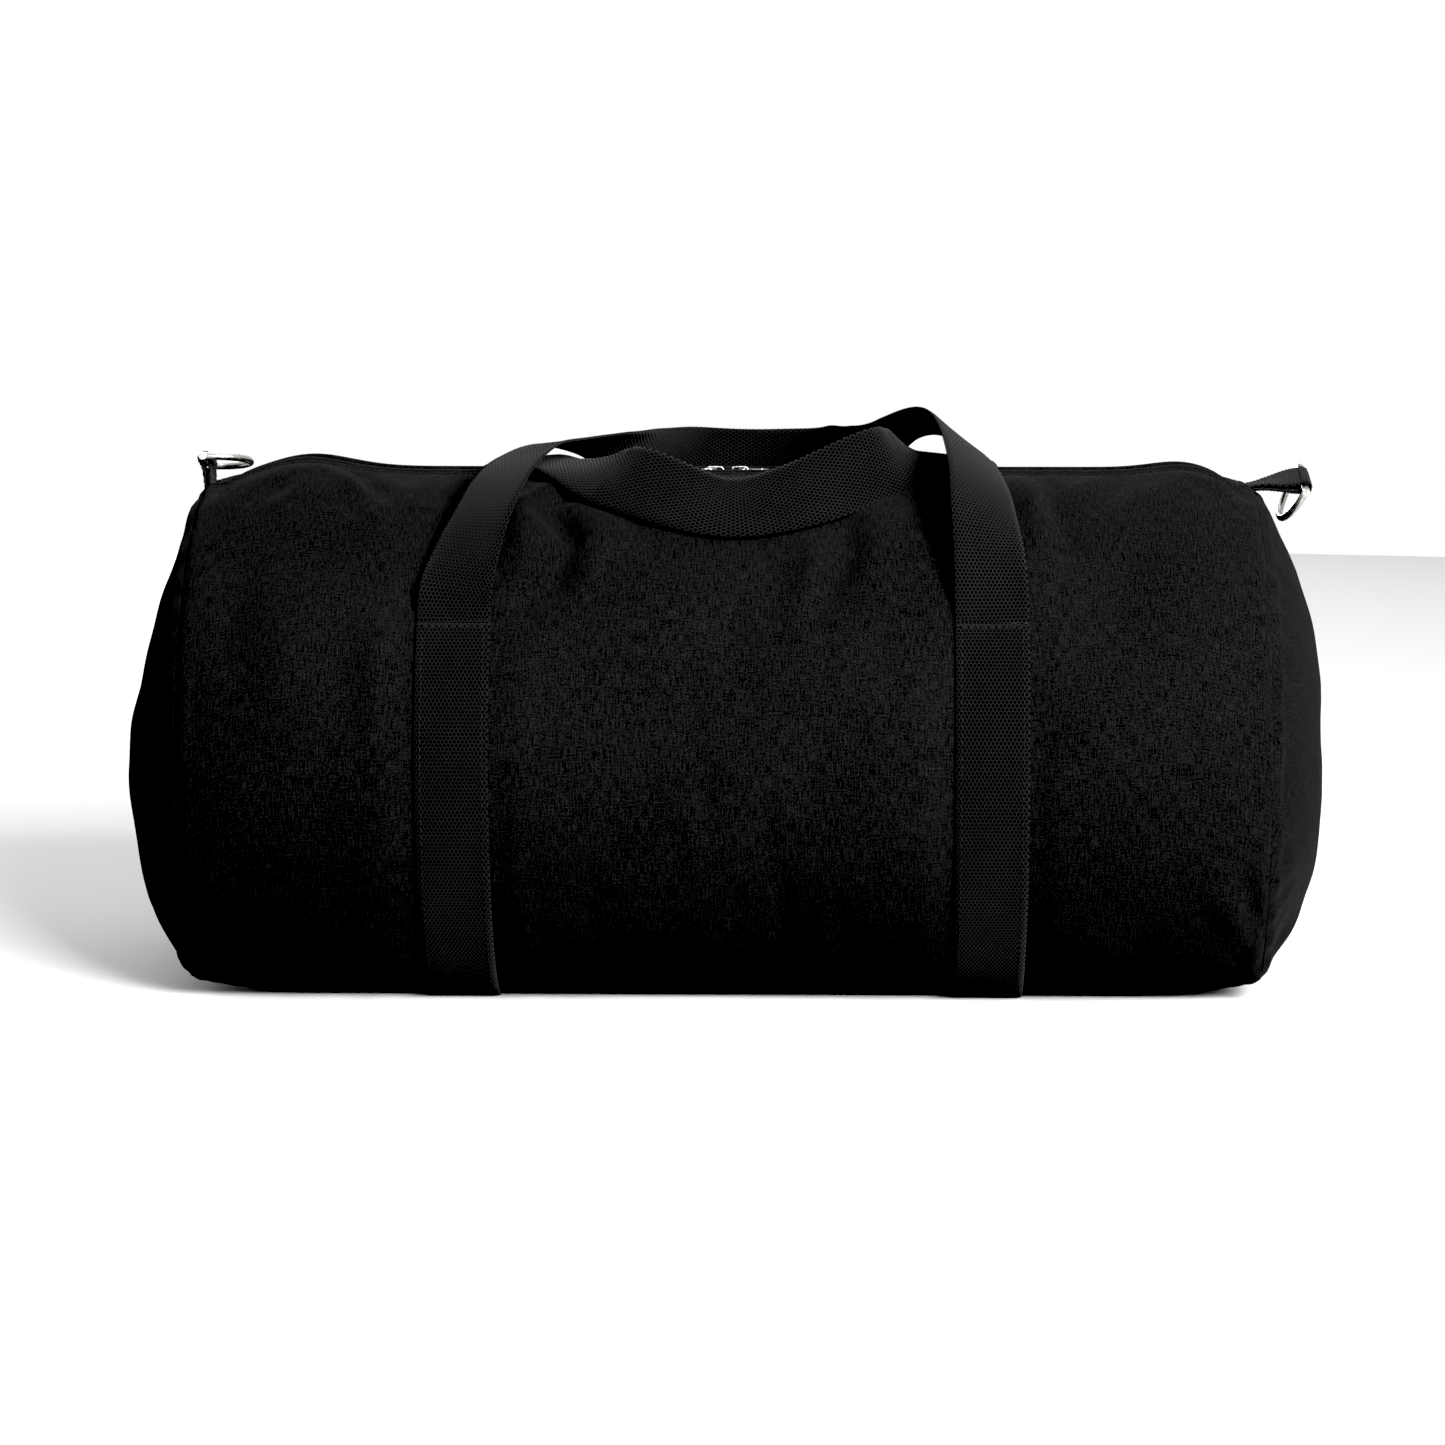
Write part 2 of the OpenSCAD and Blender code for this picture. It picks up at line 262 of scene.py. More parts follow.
def capped(rows, cols):
    """Faces of a tube of closed rings, with a cap at each end."""
    return grid_faces(rows, cols, wrap=True) + [
        tuple(range(cols - 1, -1, -1)),
        tuple(range((rows - 1) * cols, rows * cols)),
    ]


def normals_of(grid):
    """Unit normals of a grid of points."""
    n = np.cross(np.gradient(grid, axis=0), np.gradient(grid, axis=1))
    return n / np.maximum(np.linalg.norm(n, axis=2, keepdims=True), 1e-9)


def facing(normal, offset):
    """The normals, each turned to the side that its offset points to."""
    return normal * np.sign(np.sum(normal * offset, axis=2, keepdims=True))


def from_axis(grid):
    """Offsets of the points from the line along the middle of the bag."""
    return (grid - np.array([0, 0, MID_Z])) * [0, 1, 1]


def thicken(grid, normal, thickness):
    """Closed shell of a grid: the grid itself, a copy moved in along -normal, and a rim."""
    rows, cols = grid.shape[:2]
    points = np.concatenate([grid.reshape(-1, 3), (grid - normal * thickness).reshape(-1, 3)])
    outer = grid_faces(rows, cols)
    n = rows * cols
    faces = outer + [tuple(n + i for i in reversed(f)) for f in outer]
    rim = (
        [c for c in range(cols)]
        + [r * cols + cols - 1 for r in range(1, rows)]
        + [(rows - 1) * cols + c for c in range(cols - 2, -1, -1)]
        + [r * cols for r in range(rows - 2, 0, -1)]
    )
    faces += [(a, n + a, n + b, b) for a, b in zip(rim, rim[1:] + rim[:1])]
    return points, faces


# ---------------------------------------------------------------- materials
class Look:
    """A Principled material and short ways to add procedural detail to it."""

    def __init__(self, name, colour, roughness, **settings):
        self.material = bpy.data.materials.new(name)
        self.material.use_nodes = True
        self.tree = self.material.node_tree
        self.shader = self.tree.nodes["Principled BSDF"]
        self.shader.inputs["Base Color"].default_value = (*colour, 1)
        self.shader.inputs["Roughness"].default_value = roughness
        for key, value in settings.items():
            self.shader.inputs[key.replace("_", " ")].default_value = value

    def node(self, kind, sockets=(), **settings):
        made = self.tree.nodes.new(kind)
        for key, value in settings.items():
            setattr(made, key, value)
        for key, value in dict(sockets).items():
            if hasattr(value, "links"):
                self.tree.links.new(value, made.inputs[key])
            else:
                made.inputs[key].default_value = value
        return made

    def coords(self, scale, woven=True):
        """Weave coordinates in metres, or the object's own, multiplied by scale."""
        if woven:
            source = self.node("ShaderNodeUVMap", uv_map="weave").outputs["UV"]
        else:
            source = self.node("ShaderNodeTexCoord").outputs["Object"]
        return self.node("ShaderNodeMapping", {"Vector": source, "Scale": scale}).outputs[0]

    def noise(self, scale, detail=3.0, roughness=0.55, woven=True):
        return self.node("ShaderNodeTexNoise", {
            "Vector": self.coords(scale, woven), "Scale": 1.0, "Detail": detail, "Roughness": roughness,
        }).outputs["Fac"]

    def wave(self, per_metre, direction):
        turn = 2 * math.pi
        return self.node("ShaderNodeTexWave", {
            "Vector": self.coords((per_metre * turn / 20, per_metre * turn / 20, 1)),
            "Scale": 1.0, "Distortion": 0.0,
        }, wave_type="BANDS", bands_direction=direction).outputs["Fac"]

    def math(self, operation, *values):
        return self.node("ShaderNodeMath", dict(enumerate(values)), operation=operation).outputs[0]

    def spread(self, value, low, high):
        """Maps a 0.3 to 0.7 noise to the range low to high."""
        return self.node("ShaderNodeMapRange", {
            "Value": value, "From Min": 0.3, "From Max": 0.7, "To Min": low, "To Max": high,
        }).outputs[0]

    def tint(self, value, dark, light, low=0.3, high=0.7):
        """Base colour from dark at low to light at high."""
        ramp = self.node("ShaderNodeValToRGB", {"Fac": value})
        ramp.color_ramp.elements[0].color = (*dark, 1)
        ramp.color_ramp.elements[1].color = (*light, 1)
        ramp.color_ramp.elements[0].position = low
        ramp.color_ramp.elements[1].position = high
        self.tree.links.new(ramp.outputs[0], self.shader.inputs["Base Color"])

    def rough(self, value):
        self.tree.links.new(value, self.shader.inputs["Roughness"])

    def bump(self, height, distance, strength=1.0, under=None):
        sockets = {"Height": height, "Distance": distance, "Strength": strength}
        if under is not None:
            sockets["Normal"] = under
        made = self.node("ShaderNodeBump", sockets).outputs[0]
        self.tree.links.new(made, self.shader.inputs["Normal"])
        return made


def canvas_look():
    look = Look("canvas", (0.003, 0.003, 0.003), 0.8, Sheen_Weight=0.008, Sheen_Roughness=0.5,
                Specular_IOR_Level=0.0)
    per_m = 1000 / 0.62
    checker = look.node("ShaderNodeTexChecker", {
        "Vector": look.coords((per_m, per_m, 1)), "Scale": 1.0,
    }).outputs["Fac"]
    warp, weft = look.wave(per_m, "X"), look.wave(per_m, "Y")
    weave = look.math("MULTIPLY_ADD", look.math("SUBTRACT", warp, weft), checker, weft)
    lengthwise = look.noise((1800, 170, 1), detail=3.0)
    crosswise = look.noise((170, 1800, 1), detail=3.0)
    grain = look.noise((1250, 1250, 1), detail=2.0)
    slubs = look.math("ADD", look.math("MULTIPLY", lengthwise, 0.62), look.math("MULTIPLY", crosswise, 0.38))
    cloudy = look.noise((16, 16, 1), detail=5.0)
    fine = look.math("ADD", look.math("MULTIPLY", slubs, 0.6), look.math("MULTIPLY", grain, 0.4))
    shade = look.math("ADD", look.math("MULTIPLY", fine, 0.92), look.math("MULTIPLY", cloudy, 0.08))
    look.tint(shade, (0.0001, 0.0001, 0.0001), (0.0062, 0.0062, 0.0062), 0.34, 0.66)
    look.rough(look.spread(cloudy, 0.72, 0.88))
    first = look.bump(weave, 0.00012, 0.55)
    look.bump(slubs, 0.0003, 0.6, under=first)
    return look.material


def webbing_look():
    look = Look("webbing", (0.002, 0.002, 0.002), 0.62, Sheen_Weight=0.016, Sheen_Roughness=0.6,
                Specular_IOR_Level=0.0)
    across, along_it = look.wave(1000 / 1.6, "X"), look.wave(1000 / (2 * RIB), "Y")
    picks = look.math("MULTIPLY", look.math("SUBTRACT", across, 0.5), look.math("SUBTRACT", along_it, 0.5))
    dots = look.math("MULTIPLY_ADD", picks, 2.0, 0.5)
    rib = look.wave(1000 / RIB, "Y")
    fibres = look.noise((2400, 700, 1), detail=2.0)
    cloudy = look.noise((30, 16, 1), detail=4.0)
    # Relief of the picks and ribs: it drives the bump, and through the tint below it also paints shade into
    # the weave's hollows, which come out darker than the raised picks and ribs
    relief_and_hollow_shade = look.math("ADD", look.math("MULTIPLY", dots, 0.7), look.math("MULTIPLY", rib, 0.3))
    wear = look.math("ADD", look.math("MULTIPLY", fibres, 0.5), look.math("MULTIPLY", cloudy, 0.5))
    shade = look.math("ADD", look.math("MULTIPLY", relief_and_hollow_shade, 0.6), look.math("MULTIPLY", wear, 0.4))
    # Painted shade: the base colour follows the weave relief, darker in the hollows and lighter on the raised
    # picks and ribs, mixed with the random tone of the fibre and cloudy noise
    look.tint(shade, (0.0001, 0.0001, 0.0001), (0.0046, 0.0046, 0.0046))
    look.rough(look.spread(cloudy, 0.52, 0.7))
    first = look.bump(relief_and_hollow_shade, 0.0004, 0.8)
    look.bump(fibres, 0.00012, 0.5, under=first)
    return look.material


def tape_look():
    look = Look("zip_tape", (0.003, 0.003, 0.003), 0.75, Sheen_Weight=0.01, Specular_IOR_Level=0.03)
    ribs = look.wave(1000 / 0.8, "Y")
    fibres = look.noise((1500, 3000, 1), detail=2.0)
    look.tint(fibres, (0.001, 0.001, 0.001), (0.005, 0.005, 0.005))
    look.rough(look.spread(fibres, 0.68, 0.84))
    look.bump(ribs, 0.0001, 0.6)
    return look.material


def teeth_look():
    look = Look("zip_teeth", (0.012, 0.012, 0.0125), 0.34, Specular_IOR_Level=0.5)
    marks = look.noise((900, 900, 900), woven=False)
    look.tint(marks, (0.006, 0.006, 0.006), (0.016, 0.016, 0.016))
    look.rough(look.spread(marks, 0.28, 0.45))
    look.bump(marks, 0.00003, 0.4)
    return look.material


def thread_look():
    look = Look("thread", (0.003, 0.003, 0.003), 0.6, Specular_IOR_Level=0.03)
    twist = look.noise((3000, 3000, 3000), woven=False)
    look.tint(twist, (0.003, 0.003, 0.003), (0.0075, 0.0075, 0.0075))
    look.rough(look.spread(twist, 0.42, 0.62))
    look.bump(twist, 0.00006, 0.5)
    return look.material


def nickel_look():
    look = Look("nickel", (0.4, 0.39, 0.37), 0.22, Metallic=1.0)
    haze = look.noise((160, 160, 160), detail=5.0, woven=False)
    scratches = look.noise((700, 5200, 5200), detail=3.0, woven=False)
    look.tint(haze, (0.27, 0.262, 0.25), (0.47, 0.458, 0.44))
    look.rough(look.spread(haze, 0.17, 0.34))
    look.bump(scratches, 0.00002, 0.35)
    return look.material


CANVAS = canvas_look()
WEBBING = webbing_look()
TAPE = tape_look()
TEETH = teeth_look()
THREAD = thread_look()
NICKEL = nickel_look()

# ---------------------------------------------------------------- main panel
# Folds as (height, width, [(x, distance from the zip edge), ...]); the second list is the rear's
FRONT_FOLDS = [
    (3.2, 8, [(-66, 20), (-75, 42), (-85, 52), (-79, 90)]),
    (-4.6, 6, [(-62, 30), (-73, 47), (-62, 69), (-70, 96), (-84, 105)]),
    (1.8, 9, [(-50, 60), (-57, 92)]),
    (-4.0, 6, [(50, 56), (52, 74), (44, 98), (36, 110)]),
    (2.8, 8, [(39, 74), (34, 108)]),
    (1.6, 10, [(63, 66), (60, 96)]),
    (2.8, 6, [(121, 14), (131, 74)]),
    (-2.0, 7, [(135, 30), (141, 86)]),
    (1.8, 6, [(-166, 10), (-148, 44)]),
    (-1.6, 5, [(-157, 12), (-139, 46)]),
    (-1.9, 6, [(-181, 24), (-192, 42)]),
    (2.2, 10, [(-137, 112), (-138, 156)]),
    (-2.0, 7, [(-126, 96), (-127, 165)]),
    (-1.6, 9, [(166, 14), (143, 70)]),
    (-2.4, 5, [(206, 6), (217, 20)]),
    (1.8, 6, [(198, 10), (209, 28)]),
    (1.4, 13, [(158, 154), (138, 166)]),
    (-2.8, 5, [(212, 212), (219, 236)]),
    (2.4, 8, [(202, 218), (210, 242)]),
    (1.6, 12, [(140, 246), (166, 262)]),
    (-1.5, 10, [(-200, 70), (-196, 130)]),
    (1.4, 14, [(-176, 120), (-168, 170)]),
]
REAR_FOLDS = [
    (-3.8, 6, [(58, 34), (66, 58), (58, 84), (70, 104)]),
    (2.6, 8, [(72, 26), (80, 56), (76, 92)]),
    (-3.2, 6, [(-46, 52), (-52, 80), (-40, 108)]),
    (2.2, 8, [(-36, 70), (-33, 106)]),
    (2.2, 6, [(-122, 16), (-133, 70)]),
    (1.6, 7, [(160, 10), (146, 50)]),
    (-1.8, 6, [(186, 20), (194, 44)]),
    (-2.0, 7, [(128, 100), (130, 160)]),
    (-2.4, 5, [(-208, 206), (-217, 236)]),
    (2.0, 8, [(-198, 214), (-206, 240)]),
    (1.5, 12, [(20, 200), (-30, 230)]),
    (-1.5, 10, [(-170, 120), (-178, 170)]),
]


def fold_field(x, s, folds):
    """Height of a set of folds: each fades out along its own path and to both sides of it."""
    total = np.zeros_like(x)
    for height, width, path in folds:
        path = np.array(path, float)
        best = np.full_like(x, 1e9)
        share = np.zeros_like(x)
        parts = len(path) - 1
        for i, (p, q) in enumerate(zip(path[:-1], path[1:])):
            d = q - p
            t = np.clip(((x - p[0]) * d[0] + (s - p[1]) * d[1]) / (d @ d), 0, 1)
            away = np.hypot(x - p[0] - t * d[0], s - p[1] - t * d[1])
            nearer = away < best
            best = np.where(nearer, away, best)
            share = np.where(nearer, (i + t) / parts, share)
        taper = 0.35 + 0.65 * np.sin(math.pi * np.clip(share, 0, 1))
        total += height * taper * np.exp(-(best / width) ** 2)
    return total


def ripples(x, s, count, low, high, seed):
    """Sum of shallow waves of different lengths and directions, about 1 high."""
    rng = np.random.default_rng(seed)
    total = np.zeros_like(x)
    for _ in range(count):
        length = rng.uniform(low, high)
        turn, phase = rng.uniform(0, math.pi), rng.uniform(0, 2 * math.pi)
        total += np.sin(2 * math.pi * (x * math.cos(turn) + s * math.sin(turn)) / length + phase)
    return total / math.sqrt(count)


def off_straps(x, reach):
    """0 on the body straps, rising to 1 at reach beyond their edges."""
    return smooth(np.abs(np.abs(x) - STRAP_X) - WEB_W / 2 - 0.5, 0, reach)


def settle(name, grid, held, wrap=False):
    """Lets a coarse copy of a panel swell and gather between its held points; returns where it moved."""
    rows, cols = grid.shape[:2]
    mesh = bpy.data.meshes.new(name)
    mesh.from_pydata((grid.reshape(-1, 3) * MM).tolist(), [], grid_faces(rows, cols, wrap))
    cloth = add_object(name, mesh)
    pins = cloth.vertex_groups.new(name="held")
    pins.add(np.flatnonzero(held.ravel()).tolist(), 1.0, "REPLACE")
    cloth_modifier = cloth.modifiers.new("cloth", "CLOTH")
    settings = cloth_modifier.settings
    settings.quality = 6
    settings.mass = CLOTH_MASS
    settings.tension_stiffness = settings.compression_stiffness = 12
    settings.shear_stiffness = 4
    settings.bending_stiffness = 0.02
    settings.air_damping = 2
    settings.shrink_min = -CLOTH_SLACK
    settings.use_pressure = True
    settings.uniform_pressure_force = CLOTH_PRESSURE
    settings.vertex_group_mass = "held"
    settings.effector_weights.gravity = 0
    cloth_modifier.point_cache.frame_start = 1
    cloth_modifier.point_cache.frame_end = CLOTH_FRAMES
    for number in range(1, CLOTH_FRAMES + 1):
        bpy.context.scene.frame_set(number)
    settled = cloth.evaluated_get(bpy.context.evaluated_depsgraph_get())
    moved = np.empty(len(mesh.vertices) * 3)
    settled.data.vertices.foreach_get("co", moved)
    bpy.context.scene.frame_set(1)
    bpy.data.objects.remove(cloth)
    motion = moved.reshape(rows, cols, 3) / MM - grid
    size = np.linalg.norm(motion, axis=2, keepdims=True)
    return motion * CLOTH_CAP / np.maximum(size, 1e-9) * np.tanh(size / CLOTH_CAP)


def thinned(count, step):
    """Every step-th index of count, with the last one always kept."""
    return np.unique(np.append(np.arange(0, count, step), count - 1))


def spread_out(coarse, row_at, col_at, rows, cols):
    """A coarse field of vectors, carried smoothly to every row and column."""
    half = np.empty((rows, len(col_at), 3))
    full = np.empty((rows, cols, 3))
    for k in range(3):
        for c in range(len(col_at)):
            half[:, c, k] = np.interp(np.arange(rows), row_at, coarse[:, c, k])
        for r in range(rows):
            full[r, :, k] = np.interp(np.arange(cols), col_at, half[r, :, k])
    return full


def panel_grid():
    """The main panel's outer surface, from the front zip edge under the bag to the rear one."""
    edge = SEAM_X - np.array([0, 1, 2.2, 3.6, 5.2, 7.2, 9.6])
    middle = np.linspace(-edge[-1], edge[-1], 141)
    xs = np.concatenate([-edge[:-1], middle, edge[:-1][::-1]])
    near = np.array([0, 0.7, 1.6, 2.8, 4, 5, 5.8, 6.4, 7, 7.8, 8.8, 10, 11.6, 13.6])
    mid = np.linspace(near[-1], PANEL_GIRTH - near[-1], 230)
    share = np.concatenate([near[:-1], mid, (PANEL_GIRTH - near[:-1])[::-1]]) / PANEL_GIRTH
    angles = np.linspace(math.pi - SLOT_ANGLE, 2 * math.pi + SLOT_ANGLE, 2400)
    rows, spans = [], []
    for x in xs:
        line = section(x, angles)
        length = along(line, [0])[1]
        rows.append(along(line, share * length)[0])
        spans.append(share * length)
    return np.array(rows), np.array(spans)


def shape_panel():
    """The panel's outer surface with its folds, swells, hems and seam rolls, and the distance round it."""
    grid, s = panel_grid()
    x = grid[:, :, 0]
    length = s[:, -1:]
    rear = length - s
    edge = np.minimum(s, rear)
    front = s < rear
    z = grid[:, :, 2]
    from_seam = SEAM_X - np.abs(x)

    folds = np.where(front, fold_field(x, s, FRONT_FOLDS), fold_field(x, rear, REAR_FOLDS))
    soft = 0.7 * ripples(x, s, 9, 60, 150, SEED) + 0.22 * ripples(x, s, 12, 18, 45, SEED + 1)
    left_puff = 5.4 * np.exp(-((x + 178) / 24) ** 2)
    right_puff = 3.6 * np.exp(-((x - 194) / 17) ** 2)
    shoulder = (left_puff + right_puff) * np.exp(-(edge / 46) ** 2)
    dip = 2.0 * np.exp(-((np.abs(x) - 216) / 8) ** 2) * np.exp(-(edge / 30) ** 2)
    puffs = shoulder - dip
    swell = 2.4 * np.exp(-((np.abs(x) - STRAP_X) / 60) ** 2) * smooth(edge, 90, 150)
    puckers = 0.7 * np.sin(s / 5.5 + 2 * np.sin(s / 37)) * np.exp(-from_seam / 7)

    sewn = np.where(edge > 106, off_straps(x, 13), 1)
    open_hem = smooth(edge, 8, 26)
    near_seam = smooth(from_seam, 0, 14)
    off_floor = smooth(z, 2.5, 22)
    lift = (FOLD_GAIN * folds + soft) * open_hem * near_seam * off_floor * sewn
    lift += puffs * near_seam
    lift += swell * sewn * off_floor * near_seam
    lift += puckers * off_floor * smooth(from_seam, 0, 3) * smooth(edge, 5, 20)

    hem = 0.9 * smooth(edge, -1, 2.2) * (1 - smooth(edge, 7.2, 8.6))
    stitch_line = -0.75 * np.exp(-((edge - STITCH_IN) / 0.9) ** 2)
    lift += hem + stitch_line
    seam_roll = 0.9 * np.exp(-((from_seam - 4.5) / 2.6) ** 2) - 1.0 * np.exp(-(from_seam / 1.7) ** 2)
    lift += seam_roll * off_floor

    normal = facing(normals_of(grid), from_axis(grid))
    shaped = grid + normal * lift[:, :, None]
    row_at, col_at = thinned(len(x), 2), thinned(x.shape[1], 2)
    coarse = np.ix_(row_at, col_at)
    free = (np.abs(x) < SEAM_X - 2) & (edge > 8.5) & (z > 5)
    free &= (edge < 108) | (np.abs(np.abs(x) - STRAP_X) > WEB_W / 2 + 1.5)
    motion = settle("panel_cloth", shaped[coarse], ~free[coarse])
    ease = smooth(edge, 8.5, 16) * smooth(z, 5, 16) * smooth(from_seam, 2, 8) * sewn
    shaped += spread_out(motion, row_at, col_at, *x.shape) * ease[:, :, None]
    shaped[:, :, 2] = np.maximum(shaped[:, :, 2], 0.7)
    return shaped, s


def build_panel():
    grid, s = shape_panel()
    normal = facing(normals_of(grid), from_axis(grid))
    points, faces = thicken(grid, normal, WALL)
    uv = np.stack([grid[:, :, 0], s], -1).reshape(-1, 2) * MM
    panel = make("main_panel_cloth", points, faces, np.tile(uv, (2, 1)), look=CANVAS,
                 replaces=["main_panel"])
    return grid, normal, s


# ---------------------------------------------------------------- end panels
def end_panel(side, name, depth, top_full, low_full, seed):
    """A domed end; the two full values make it boxier (positive) or more pointed above and below."""
    rings, around = 46, 288
    share = 1 - (np.arange(rings) / (rings - 1)) ** 1.25
    share[-1] = 0.004
    a = np.linspace(0, 2 * math.pi, around, endpoint=False)
    rim = section(SEAM_X, a)
    up = np.sin(a)
    fullness = 2.2 + np.where(up > 0, top_full * up, -low_full * up)
    centre_z = MID_Z - 4
    k = share[:, None]
    x = SEAM_X + 0.2 + depth * (1 - k ** fullness)
    y = rim[:, 1] * k
    z = centre_z + (rim[:, 2] - centre_z) * k
    grid = np.stack([side * x, y, z], -1)

    from_rim = END_R - k * END_R
    bend = 0.8 * ripples(y, z, 8, 55, 130, seed) + 0.25 * ripples(y, z, 10, 20, 42, seed + 1)
    gathers = np.sin(a * 31 + 3 * np.sin(a * 5)) * np.exp(-(1 - k) * END_R / 9) * 0.8
    low = np.exp(-((a - math.radians(232)) / 0.16) ** 2) + np.exp(-((a - math.radians(306)) / 0.16) ** 2)
    corner = -3.0 * low * np.exp(-((k - 0.86) / 0.1) ** 2)
    corner += 2.4 * np.exp(-((a - math.radians(243)) / 0.1) ** 2) * np.exp(-((k - 0.82) / 0.14) ** 2)
    high = np.exp(-((a - math.radians(90)) / 0.3) ** 2) * np.exp(-((k - 0.8) / 0.16) ** 2)
    crease_at = math.radians(151 if side < 0 else 28)
    crease = -2.2 * np.exp(-((a - crease_at) / 0.05) ** 2) * np.exp(-((k - 0.72) / 0.22) ** 2)
    inner = smooth(from_rim, 0, 12)
    lift = (bend + corner - 1.2 * high + crease) * inner + gathers * smooth(from_rim, 0, 3)
    roll = 0.9 * np.exp(-((from_rim - 4.5) / 2.6) ** 2) - 0.8 * np.exp(-(from_rim / 1.7) ** 2)
    lift += roll
    closed = np.concatenate([grid, grid[:, :1]], axis=1)
    normal = facing(normals_of(closed)[:, :-1], grid - np.array([side * 150, 0, MID_Z]))
    grid = grid + normal * lift[:, :, None]
    row_at, col_at = thinned(rings, 2), thinned(around, 3)
    coarse = grid[np.ix_(row_at, col_at)]
    held = np.zeros(coarse.shape[:2], bool)
    held[:2] = True
    held |= coarse[:, :, 2] < 4
    motion = settle(name + "_cloth_sim", coarse, held, wrap=True)
    ease = inner * smooth(grid[:, :, 2], 4, 14)
    grid += spread_out(motion, row_at, col_at, rings, around) * ease[:, :, None]
    grid[:, :, 2] = np.maximum(grid[:, :, 2], 0.9)

    n = rings * around
    points = np.concatenate([grid.reshape(-1, 3), (grid - normal * WALL).reshape(-1, 3)])
    outer = grid_faces(rings, around, wrap=True) + [tuple(range((rings - 1) * around, n))]
    faces = outer + [tuple(n + i for i in reversed(f)) for f in outer]
    faces += [(c, (c + 1) % around, n + (c + 1) % around, n + c) for c in range(around)]
    uv = grid.reshape(-1, 3)[:, 1:] * MM
    piece = make(name + "_cloth", points, faces, np.tile(uv, (2, 1)), look=CANVAS,
                 replaces=[name])


# ---------------------------------------------------------------- webbing
def curve(points, samples):
    """Catmull-Rom curve through the points, with that many samples to a span."""
    points = np.asarray(points, float)
    line = np.vstack([2 * points[0] - points[1], points, 2 * points[-1] - points[-2]])
    t = np.linspace(0, 1, samples, endpoint=False)[:, None]
    out = []
    for p0, p1, p2, p3 in zip(line, line[1:], line[2:], line[3:]):
        out.append(0.5 * (2 * p1 + (p2 - p0) * t + (2 * p0 - 5 * p1 + 4 * p2 - p3) * t * t
                          + (3 * p1 - p0 - 3 * p2 + p3) * t ** 3))
    return np.vstack([*out, points[-1:]])


def resample(points, across, step):
    """Even steps along a line, the direction carried at each, and the distance to each."""
    steps = np.linalg.norm(np.diff(points, axis=0), axis=1)
    at = np.concatenate([[0], np.cumsum(steps)])
    count = max(2, int(round(at[-1] / step))) + 1
    want = np.linspace(0, at[-1], count)
    place = np.stack([np.interp(want, at, points[:, k]) for k in range(3)], -1)
    turn = np.stack([np.interp(want, at, across[:, k]) for k in range(3)], -1)
    return place, turn, want


def frames(place, across):
    """Unit vectors along, across and out of a ribbon."""
    tangent = np.gradient(place, axis=0)
    tangent /= np.linalg.norm(tangent, axis=1, keepdims=True)
    side = across - np.sum(across * tangent, axis=1, keepdims=True) * tangent
    side /= np.linalg.norm(side, axis=1, keepdims=True)
    return tangent, side, np.cross(side, tangent)


def webbing(name, place, across, width, thickness, body="bag", replaces=(), curl=0.0):
    """Ribbed webbing along a line: two rows of points to each rib, and rounded, knobbly edges."""
    place, across, want = resample(place, across, RIB / 2)
    _, side, out = frames(place, across)
    columns = 12
    u = np.linspace(-1, 1, columns + 1)
    rows = len(want)
    rib = np.where(np.arange(rows) % 2 == 0, 1.0, -1.0)[:, None]
    body_share = np.clip((1 - np.abs(u)) / 0.09, 0, 1)[None, :] ** 0.5
    half = thickness / 2 * (0.45 + 0.55 * body_share) + 0.13 * rib * (0.4 + 0.6 * body_share)
    half_w = width / 2 - 0.1 + 0.14 * rib
    bow = curl * (u * u)[None, :] * smooth(np.minimum(want, want[-1] - want), 0, 14)[:, None]
    wide = side[:, None, :] * (u[None, :, None] * half_w[:, :, None])
    top = place[:, None] + wide + out[:, None] * (bow + half)[:, :, None]
    low = place[:, None] + wide + out[:, None] * (bow - half)[:, :, None]
    ring = np.concatenate([top, low[:, ::-1]], axis=1)
    points = ring.reshape(-1, 3)
    loop = np.concatenate([u, u[::-1]]) * width / 2
    uv = np.stack([np.tile(loop, rows), np.repeat(want, len(loop))], -1) * MM
    piece = make(name, points, capped(rows, ring.shape[1]), uv, body=body, look=WEBBING,
                 replaces=replaces)
    for end in piece.data.polygons[-2:]:
        end.use_smooth = False
    return piece


STITCH_LEAN = 6.0


def stitches(name, lines, length=2.4, gap=0.9, radius=0.24, replaces=()):
    """Rows of thread stitches: each line is (points, outward directions)."""
    points, faces = [], []
    sides = 6
    turn = math.radians(STITCH_LEAN)
    for line, out in lines:
        place, up, _ = resample(line, out, length + gap)
        tangent, normal, _ = frames(place, up)
        for c, t, n in zip(place[:-1] + np.diff(place, axis=0) / 2, tangent, normal):
            b = np.cross(n, t)
            t = t * math.cos(turn) + b * math.sin(turn)
            b = np.cross(n, t)
            start = len(points)
            for at, r in ((-0.5, 0.35), (-0.36, 0.9), (0, 1.0), (0.36, 0.9), (0.5, 0.35)):
                sink = -radius * 1.1 if abs(at) == 0.5 else 0
                for k in range(sides):
                    angle = 2 * math.pi * k / sides
                    points.append(c + t * length * at + n * (sink + radius * r * math.sin(angle))
                                  + b * radius * r * 1.25 * math.cos(angle))
            faces += [tuple(start + i for i in f) for f in capped(5, sides)]
    make(name, np.array(points), faces, look=THREAD, replaces=replaces)


def strap_line(side, lift, offset=0.0, top=BUTT_Z):
    """A line round the bag on a body strap, lift above the panel and offset from its middle."""
    a = angle_at(top)
    angles = np.linspace(math.pi - a, 2 * math.pi + a, 700)
    line = section(side * STRAP_X, angles, lift)
    normal = np.cross(np.gradient(line, axis=0), [1.0, 0, 0])
    normal /= np.linalg.norm(normal, axis=1, keepdims=True)
    normal *= np.sign(np.sum(normal * (line - [side * STRAP_X, 0, MID_Z]), axis=1, keepdims=True))
    line = line + [offset, 0, 0]
    return line, normal


